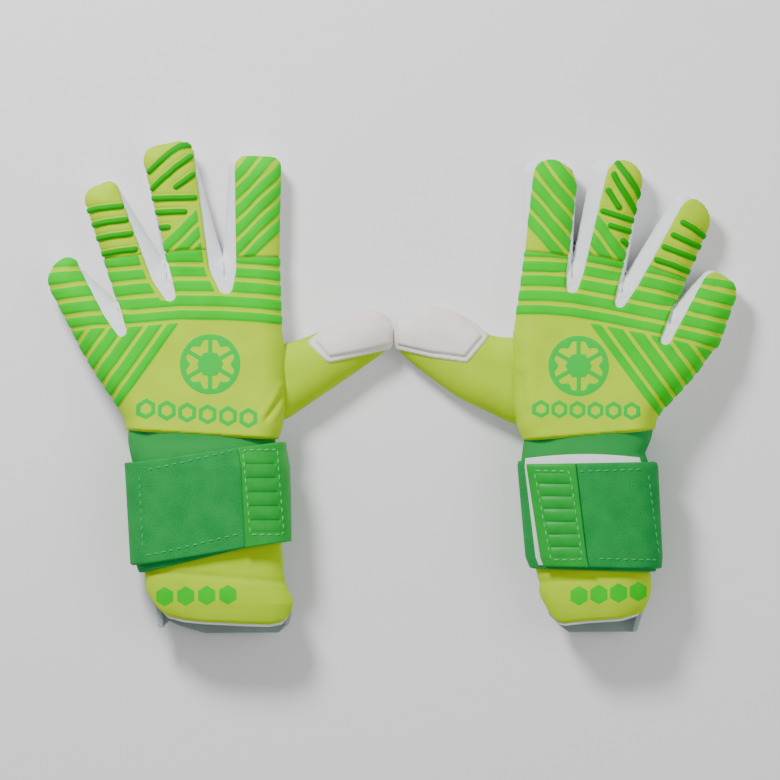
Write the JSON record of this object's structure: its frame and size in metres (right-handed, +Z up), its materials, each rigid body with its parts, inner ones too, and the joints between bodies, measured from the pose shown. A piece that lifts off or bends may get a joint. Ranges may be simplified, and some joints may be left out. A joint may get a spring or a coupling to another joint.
{
  "type": "goalkeeper gloves",
  "caption": "Pair of padded goalkeeper gloves lying palm down, thumbs towards each other, with hinged fingers and thumbs and wrist straps that open.",
  "frame": {"origin": "centre of the underside of the pair's bounding box, on the surface that the palms lie on", "axes": "+X from the left glove to the right glove, +Y from the cuffs to the fingertips, +Z up through the backs of the hands"},
  "size_m": [0.4094, 0.2948, 0.0566],
  "materials": {
    "yellow_foam": "matte embossed latex foam",
    "white_latex": "matte latex foam",
    "green_elastic": "woven elastic and stitched strap",
    "green_rubber": "moulded rubber, satin",
    "grey_lining": "brushed textile lining",
    "white_trim": "woven tape and hook fastener"
  },
  "bodies": {
    "left_glove": {"left_hand_palm": "white_latex", "left_hand_back": "yellow_foam", "left_cuff_back": "yellow_foam", "left_cuff_palm": "grey_lining", "left_cuff_lining": "grey_lining", "left_cuff_binding": "white_trim", "left_wrist_bandage": "green_elastic", "left_strap_band": "green_elastic"},
    "left_index_base": {"left_index_base_palm": "white_latex", "left_index_base_back": "yellow_foam"},
    "left_index_tip": {"left_index_tip_palm": "white_latex", "left_index_tip_back": "yellow_foam"},
    "left_middle_base": {"left_middle_base_palm": "white_latex", "left_middle_base_back": "yellow_foam"},
    "left_middle_tip": {"left_middle_tip_palm": "white_latex", "left_middle_tip_back": "yellow_foam"},
    "left_ring_base": {"left_ring_base_palm": "white_latex", "left_ring_base_back": "yellow_foam"},
    "left_ring_tip": {"left_ring_tip_palm": "white_latex", "left_ring_tip_back": "yellow_foam"},
    "left_little_base": {"left_little_base_palm": "white_latex", "left_little_base_back": "yellow_foam"},
    "left_little_tip": {"left_little_tip_palm": "white_latex", "left_little_tip_back": "yellow_foam"},
    "left_thumb": {"left_thumb_palm": "white_latex", "left_thumb_back": "yellow_foam", "left_thumb_wrap": "white_latex"},
    "left_strap_flap": {"left_strap_flap": "green_elastic", "left_pull_tab": "green_rubber", "left_hook_patch": "white_trim"},
    "right_glove": {"right_hand_palm": "white_latex", "right_hand_back": "yellow_foam", "right_cuff_back": "yellow_foam", "right_cuff_palm": "grey_lining", "right_cuff_lining": "grey_lining", "right_cuff_binding": "white_trim", "right_wrist_bandage": "green_elastic", "right_strap_band": "green_elastic"},
    "right_index_base": {"right_index_base_palm": "white_latex", "right_index_base_back": "yellow_foam"},
    "right_index_tip": {"right_index_tip_palm": "white_latex", "right_index_tip_back": "yellow_foam"},
    "right_middle_base": {"right_middle_base_palm": "white_latex", "right_middle_base_back": "yellow_foam"},
    "right_middle_tip": {"right_middle_tip_palm": "white_latex", "right_middle_tip_back": "yellow_foam"},
    "right_ring_base": {"right_ring_base_palm": "white_latex", "right_ring_base_back": "yellow_foam"},
    "right_ring_tip": {"right_ring_tip_palm": "white_latex", "right_ring_tip_back": "yellow_foam"},
    "right_little_base": {"right_little_base_palm": "white_latex", "right_little_base_back": "yellow_foam"},
    "right_little_tip": {"right_little_tip_palm": "white_latex", "right_little_tip_back": "yellow_foam"},
    "right_thumb": {"right_thumb_palm": "white_latex", "right_thumb_back": "yellow_foam", "right_thumb_wrap": "white_latex"},
    "right_strap_flap": {"right_strap_flap": "green_elastic", "right_pull_tab": "green_rubber", "right_hook_patch": "white_trim"}
  },
  "joints": [
    {"name": "left_index_knuckle", "type": "hinge", "parent": "left_glove", "child": "left_index_base", "pos_m": [-0.0842, 0.06664, 0], "axis": [-0.9997, 0.0236, 0], "range_deg": [0, 80], "stiffness_Nm_per_rad": 0.05},
    {"name": "left_index_middle_joint", "type": "hinge", "parent": "left_index_base", "child": "left_index_tip", "pos_m": [-0.0826, 0.1006, 0], "axis": [-0.9989, 0.0471, 0], "range_deg": [0, 90], "stiffness_Nm_per_rad": 0.03},
    {"name": "left_middle_knuckle", "type": "hinge", "parent": "left_glove", "child": "left_middle_base", "pos_m": [-0.1169, 0.06564, 0], "axis": [-0.9948, -0.1019, 0], "range_deg": [0, 80], "stiffness_Nm_per_rad": 0.05},
    {"name": "left_middle_middle_joint", "type": "hinge", "parent": "left_middle_base", "child": "left_middle_tip", "pos_m": [-0.12461, 0.10285, 0], "axis": [-0.9792, -0.2028, 0], "range_deg": [0, 90], "stiffness_Nm_per_rad": 0.03},
    {"name": "left_ring_knuckle", "type": "hinge", "parent": "left_glove", "child": "left_ring_base", "pos_m": [-0.1476, 0.05864, 0], "axis": [-0.9811, -0.1934, 0], "range_deg": [0, 80], "stiffness_Nm_per_rad": 0.05},
    {"name": "left_ring_middle_joint", "type": "hinge", "parent": "left_ring_base", "child": "left_ring_tip", "pos_m": [-0.15936, 0.08732, 0], "axis": [-0.9252, -0.3795, 0], "range_deg": [0, 90], "stiffness_Nm_per_rad": 0.03},
    {"name": "left_little_knuckle", "type": "hinge", "parent": "left_glove", "child": "left_little_base", "pos_m": [-0.1731, 0.03664, 0], "axis": [-0.9576, -0.2882, 0], "range_deg": [0, 80], "stiffness_Nm_per_rad": 0.05},
    {"name": "left_little_middle_joint", "type": "hinge", "parent": "left_little_base", "child": "left_little_tip", "pos_m": [-0.18469, 0.05415, 0], "axis": [-0.8339, -0.5519, 0], "range_deg": [0, 90], "stiffness_Nm_per_rad": 0.03},
    {"name": "left_thumb_fold", "type": "hinge", "parent": "left_glove", "child": "left_thumb", "pos_m": [-0.06475, 0.00264, 0], "axis": [0, 1, 0], "range_deg": [0, 60], "stiffness_Nm_per_rad": 0.05},
    {"name": "left_strap_opening", "type": "hinge", "parent": "left_glove", "child": "left_strap_flap", "pos_m": [-0.1567, -0.07061, 0.0254], "axis": [0, -1, 0], "range_deg": [0, 150]},
    {"name": "right_glove_apart", "type": "slide", "parent": "left_glove", "child": "right_glove", "axis": [1, 0, 0], "range_m": [0, 0.15]},
    {"name": "right_index_knuckle", "type": "hinge", "parent": "right_glove", "child": "right_index_base", "pos_m": [0.0927, 0.06664, 0], "axis": [-0.9998, 0.0218, 0], "range_deg": [0, 80], "stiffness_Nm_per_rad": 0.05},
    {"name": "right_index_middle_joint", "type": "hinge", "parent": "right_index_base", "child": "right_index_tip", "pos_m": [0.09414, 0.09961, 0], "axis": [-0.999, 0.0436, 0], "range_deg": [0, 90], "stiffness_Nm_per_rad": 0.03},
    {"name": "right_middle_knuckle", "type": "hinge", "parent": "right_glove", "child": "right_middle_base", "pos_m": [0.1237, 0.06414, 0], "axis": [-0.9955, 0.095, 0], "range_deg": [0, 80], "stiffness_Nm_per_rad": 0.05},
    {"name": "right_middle_middle_joint", "type": "hinge", "parent": "right_middle_base", "child": "right_middle_tip", "pos_m": [0.13032, 0.09851, 0], "axis": [-0.982, 0.1891, 0], "range_deg": [0, 90], "stiffness_Nm_per_rad": 0.03},
    {"name": "right_ring_knuckle", "type": "hinge", "parent": "right_glove", "child": "right_ring_base", "pos_m": [0.1531, 0.05464, 0], "axis": [-0.9753, 0.2207, 0], "range_deg": [0, 80], "stiffness_Nm_per_rad": 0.05},
    {"name": "right_ring_middle_joint", "type": "hinge", "parent": "right_ring_base", "child": "right_ring_tip", "pos_m": [0.16601, 0.08172, 0], "axis": [-0.9026, 0.4305, 0], "range_deg": [0, 90], "stiffness_Nm_per_rad": 0.03},
    {"name": "right_little_knuckle", "type": "hinge", "parent": "right_glove", "child": "right_little_base", "pos_m": [0.1769, 0.03164, 0], "axis": [-0.9648, 0.263, 0], "range_deg": [0, 80], "stiffness_Nm_per_rad": 0.05},
    {"name": "right_little_middle_joint", "type": "hinge", "parent": "right_little_base", "child": "right_little_tip", "pos_m": [0.18705, 0.04887, 0], "axis": [-0.8616, 0.5075, 0], "range_deg": [0, 90], "stiffness_Nm_per_rad": 0.03},
    {"name": "right_thumb_fold", "type": "hinge", "parent": "right_glove", "child": "right_thumb", "pos_m": [0.07395, 0.00264, 0], "axis": [0, -1, 0], "range_deg": [0, 60], "stiffness_Nm_per_rad": 0.05},
    {"name": "right_strap_opening", "type": "hinge", "parent": "right_glove", "child": "right_strap_flap", "pos_m": [0.1629, -0.07611, 0.0254], "axis": [0, 1, 0], "range_deg": [0, 150]}
  ],
  "couplings": [
    {"joint": "left_index_middle_joint", "follows": "left_index_knuckle", "ratio": 1.1},
    {"joint": "left_middle_middle_joint", "follows": "left_middle_knuckle", "ratio": 1.1},
    {"joint": "left_ring_middle_joint", "follows": "left_ring_knuckle", "ratio": 1.1},
    {"joint": "left_little_middle_joint", "follows": "left_little_knuckle", "ratio": 1.1},
    {"joint": "right_index_middle_joint", "follows": "right_index_knuckle", "ratio": 1.1},
    {"joint": "right_middle_middle_joint", "follows": "right_middle_knuckle", "ratio": 1.1},
    {"joint": "right_ring_middle_joint", "follows": "right_ring_knuckle", "ratio": 1.1},
    {"joint": "right_little_middle_joint", "follows": "right_little_knuckle", "ratio": 1.1}
  ]
}
